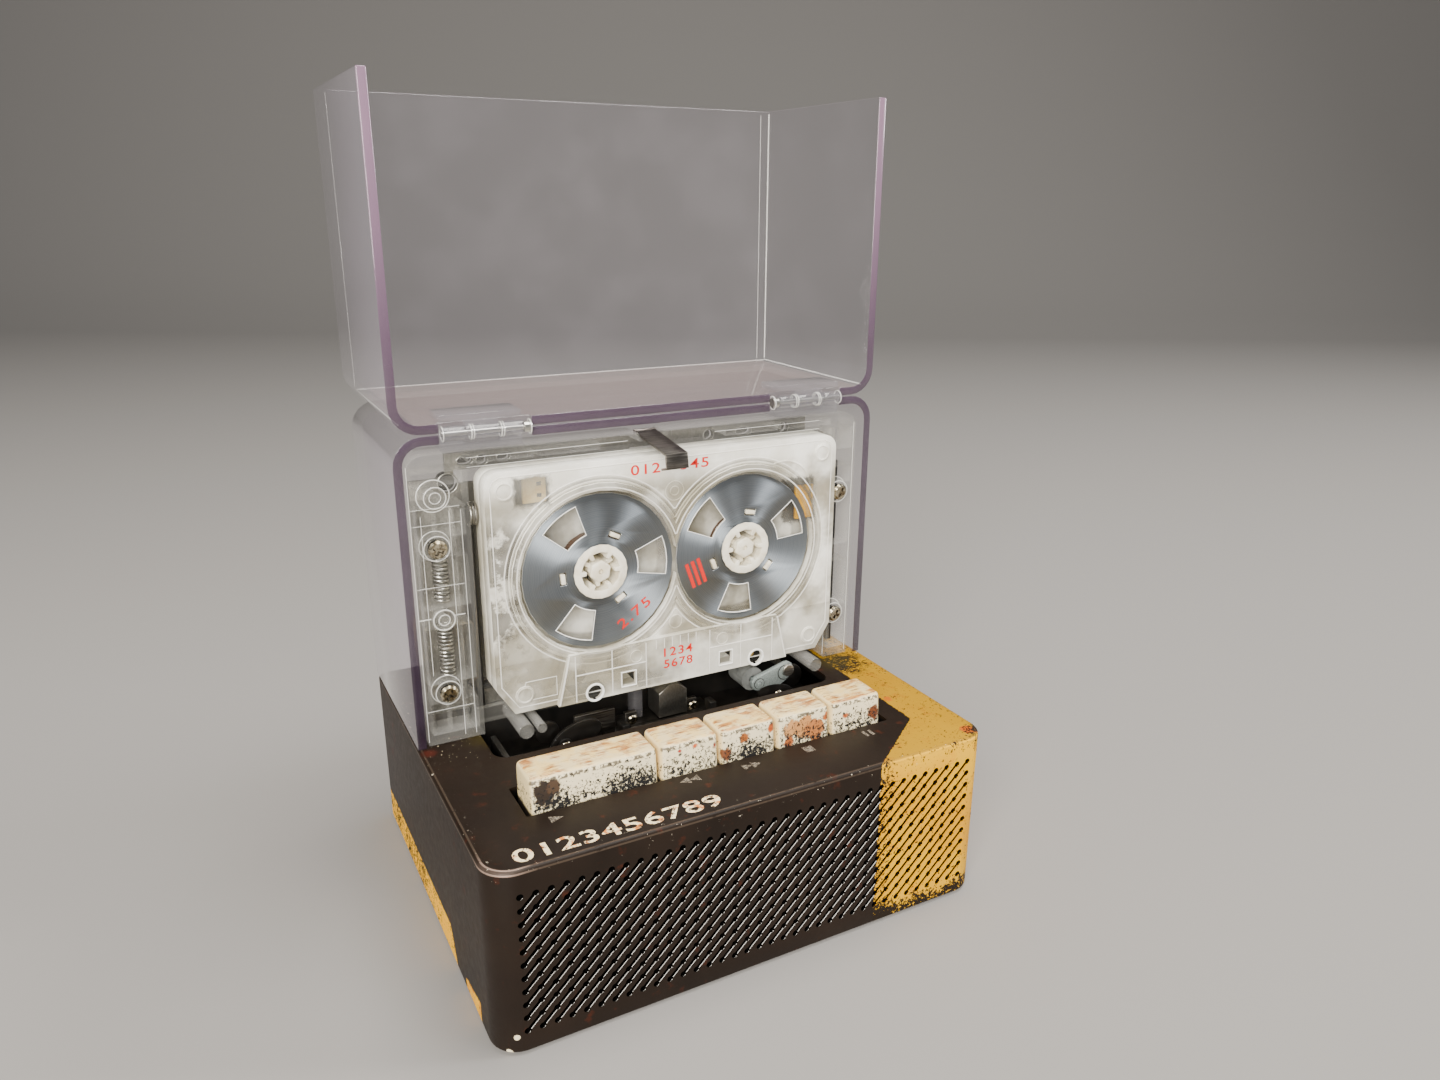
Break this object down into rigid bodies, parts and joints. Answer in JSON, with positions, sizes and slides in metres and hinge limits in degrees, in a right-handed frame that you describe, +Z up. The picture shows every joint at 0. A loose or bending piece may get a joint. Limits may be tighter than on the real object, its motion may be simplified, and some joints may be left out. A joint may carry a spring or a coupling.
{
  "type": "cassette deck",
  "caption": "Desk cassette deck: low base with a speaker grille and press keys, a clear tower holding an exposed tape transport and cassette, and a hinged clear lid.",
  "frame": {"origin": "middle of the base's flat underside, on the surface that it stands on", "axes": "+X to the right and -Y to the front as the user faces the keys, +Z up"},
  "size_m": [0.1334, 0.1166, 0.2038],
  "materials": {
    "housing": "satin dark brown paint with worn yellow print",
    "cover": "fine grain",
    "battery": "shrink film",
    "board": "solder mask",
    "steel": "plated",
    "dark_steel": "dark plated",
    "cone": "pressed paper",
    "clear": "clear acrylic",
    "frame": "clear moulding",
    "black": "satin",
    "key": "worn cream paint",
    "ivory": "moulded",
    "grey": "zinc grey",
    "roller": "light grey rubber",
    "rubber": "matt",
    "brass": "turned",
    "beige": "moulded",
    "yellow": "moulded",
    "shell": "frosted clear",
    "reel": "turned and anodised",
    "tape": "wound tape"
  },
  "bodies": {
    "base": {"base_housing": "housing", "bottom_cover": "cover", "battery_pack": "battery", "main_board": "board", "power_socket": "steel", "speaker_basket": "steel", "speaker_cone": "cone", "speaker_magnet": "dark_steel", "tower_shell": "clear", "hinge_left_tower": "clear", "hinge_right_tower": "clear", "hinge_left_pin": "steel", "hinge_right_pin": "steel", "transport_frame": "frame", "screw_left_upper": "steel", "screw_left_lower": "steel", "screw_right_upper": "steel", "screw_right_lower": "steel", "column_spring_upper": "steel", "column_spring_lower": "steel", "steel_chassis": "steel", "deck_block": "black", "key_shaft": "steel", "capstan_bush": "brass", "motor": "steel", "drive_belt": "rubber", "flywheel_bracket": "steel", "signal_connector": "beige", "auto_stop_cam": "yellow", "pinch_pivot": "steel"},
    "lid": {"lid_shell": "clear", "hinge_left_lid": "clear", "hinge_right_lid": "clear"},
    "key_play_body": {"key_play": "key"},
    "key_rewind_body": {"key_rewind": "key"},
    "key_forward_body": {"key_forward": "key"},
    "key_stop_body": {"key_stop": "key"},
    "key_pause_body": {"key_pause": "key"},
    "head_slide_body": {"head_bridge": "dark_steel", "head_screw_left": "steel", "head_screw_right": "steel", "bridge_screw": "steel", "play_head": "steel", "tape_guide": "ivory"},
    "pinch_arm_body": {"pinch_arm": "grey"},
    "pinch_roller_body": {"pinch_roller": "roller"},
    "flywheel_body": {"flywheel": "brass"},
    "motor_pulley_body": {"motor_pulley": "brass"},
    "idler_body": {"idler_wheel": "rubber"},
    "spindle_left_body": {"spindle_left": "ivory"},
    "spindle_right_body": {"spindle_right": "ivory"},
    "cassette": {"cassette_front": "shell", "cassette_back": "shell"},
    "reel_left": {"reel_left_face": "reel", "reel_left_hub": "ivory", "tape_left": "tape"},
    "reel_right": {"reel_right_face": "reel", "reel_right_hub": "ivory", "tape_right": "tape"},
    "clip": {"tape_clip": "dark_steel"}
  },
  "joints": [
    {"name": "lid_hinge", "type": "hinge", "parent": "base", "child": "lid", "pos_m": [0, 0.0031, 0.12635], "axis": [1, 0, 0], "range_deg": [0, 180]},
    {"name": "key_play_press", "type": "hinge", "parent": "base", "child": "key_play_body", "pos_m": [0, -0.008, 0.0415], "axis": [1, 0, 0], "range_deg": [0, 5.5], "stiffness_Nm_per_rad": 0.4, "springref_deg": -2.86},
    {"name": "key_rewind_press", "type": "hinge", "parent": "base", "child": "key_rewind_body", "pos_m": [0, -0.008, 0.0415], "axis": [1, 0, 0], "range_deg": [0, 5.5], "stiffness_Nm_per_rad": 0.4, "springref_deg": -2.86},
    {"name": "key_forward_press", "type": "hinge", "parent": "base", "child": "key_forward_body", "pos_m": [0, -0.008, 0.0415], "axis": [1, 0, 0], "range_deg": [0, 5.5], "stiffness_Nm_per_rad": 0.4, "springref_deg": -2.86},
    {"name": "key_stop_press", "type": "hinge", "parent": "base", "child": "key_stop_body", "pos_m": [0, -0.008, 0.0415], "axis": [1, 0, 0], "range_deg": [0, 5.5], "stiffness_Nm_per_rad": 0.4, "springref_deg": -2.86},
    {"name": "key_pause_press", "type": "hinge", "parent": "base", "child": "key_pause_body", "pos_m": [0, -0.008, 0.0415], "axis": [1, 0, 0], "range_deg": [0, 5.5], "stiffness_Nm_per_rad": 0.4, "springref_deg": -2.86},
    {"name": "head_slide", "type": "slide", "parent": "base", "child": "head_slide_body", "axis": [0, 0, 1], "range_m": [0, 0.004], "stiffness_N_per_m": 6, "springref_m": 0.016},
    {"name": "pinch_arm_turn", "type": "hinge", "parent": "base", "child": "pinch_arm_body", "pos_m": [0.0371, 0, 0.0497], "axis": [0, 1, 0], "range_deg": [0, 16]},
    {"name": "pinch_roller_spin", "type": "hinge", "parent": "pinch_arm_body", "child": "pinch_roller_body", "pos_m": [0.0278, 0, 0.0471], "axis": [0, 1, 0], "continuous": true},
    {"name": "flywheel_spin", "type": "hinge", "parent": "base", "child": "flywheel_body", "pos_m": [0.02785, 0, 0.0546], "axis": [0, 1, 0], "continuous": true},
    {"name": "motor_spin", "type": "hinge", "parent": "base", "child": "motor_pulley_body", "pos_m": [-0.04, 0, 0.068], "axis": [0, 1, 0], "continuous": true},
    {"name": "idler_spin", "type": "hinge", "parent": "base", "child": "idler_body", "pos_m": [0.02661, 0, 0.06752], "axis": [0, 1, 0], "continuous": true},
    {"name": "spindle_left_spin", "type": "hinge", "parent": "base", "child": "spindle_left_body", "pos_m": [-0.0178, 0, 0.0874], "axis": [0, 1, 0], "continuous": true},
    {"name": "spindle_right_spin", "type": "hinge", "parent": "base", "child": "spindle_right_body", "pos_m": [0.0247, 0, 0.0874], "axis": [0, 1, 0], "continuous": true},
    {"name": "cassette_slide", "type": "slide", "parent": "base", "child": "cassette", "axis": [0, -1, 0], "range_m": [0, 0.0104]},
    {"name": "reel_left_spin", "type": "hinge", "parent": "cassette", "child": "reel_left", "pos_m": [-0.0178, 0, 0.0874], "axis": [0, 1, 0], "continuous": true},
    {"name": "reel_right_spin", "type": "hinge", "parent": "cassette", "child": "reel_right", "pos_m": [0.0247, 0, 0.0874], "axis": [0, 1, 0], "continuous": true},
    {"name": "clip_lift", "type": "hinge", "parent": "base", "child": "clip", "pos_m": [-0.0008, 0.01, 0.1208], "axis": [-1, 0, 0], "range_deg": [0, 13.5]}
  ],
  "couplings": [
    {"joint": "head_slide", "follows": "key_play_press", "m_per_rad": 0.039586},
    {"joint": "pinch_arm_turn", "follows": "key_play_press", "ratio": 2.8364},
    {"joint": "motor_spin", "follows": "flywheel_spin", "ratio": 4.6667},
    {"joint": "idler_spin", "follows": "flywheel_spin", "ratio": -0.44566},
    {"joint": "spindle_left_spin", "follows": "flywheel_spin", "ratio": 0.36364},
    {"joint": "spindle_right_spin", "follows": "flywheel_spin", "ratio": 0.36364},
    {"joint": "reel_left_spin", "follows": "flywheel_spin", "ratio": 0.36364},
    {"joint": "reel_right_spin", "follows": "flywheel_spin", "ratio": 0.36364},
    {"joint": "clip_lift", "follows": "cassette_slide", "rad_per_m": 22.515}
  ]
}
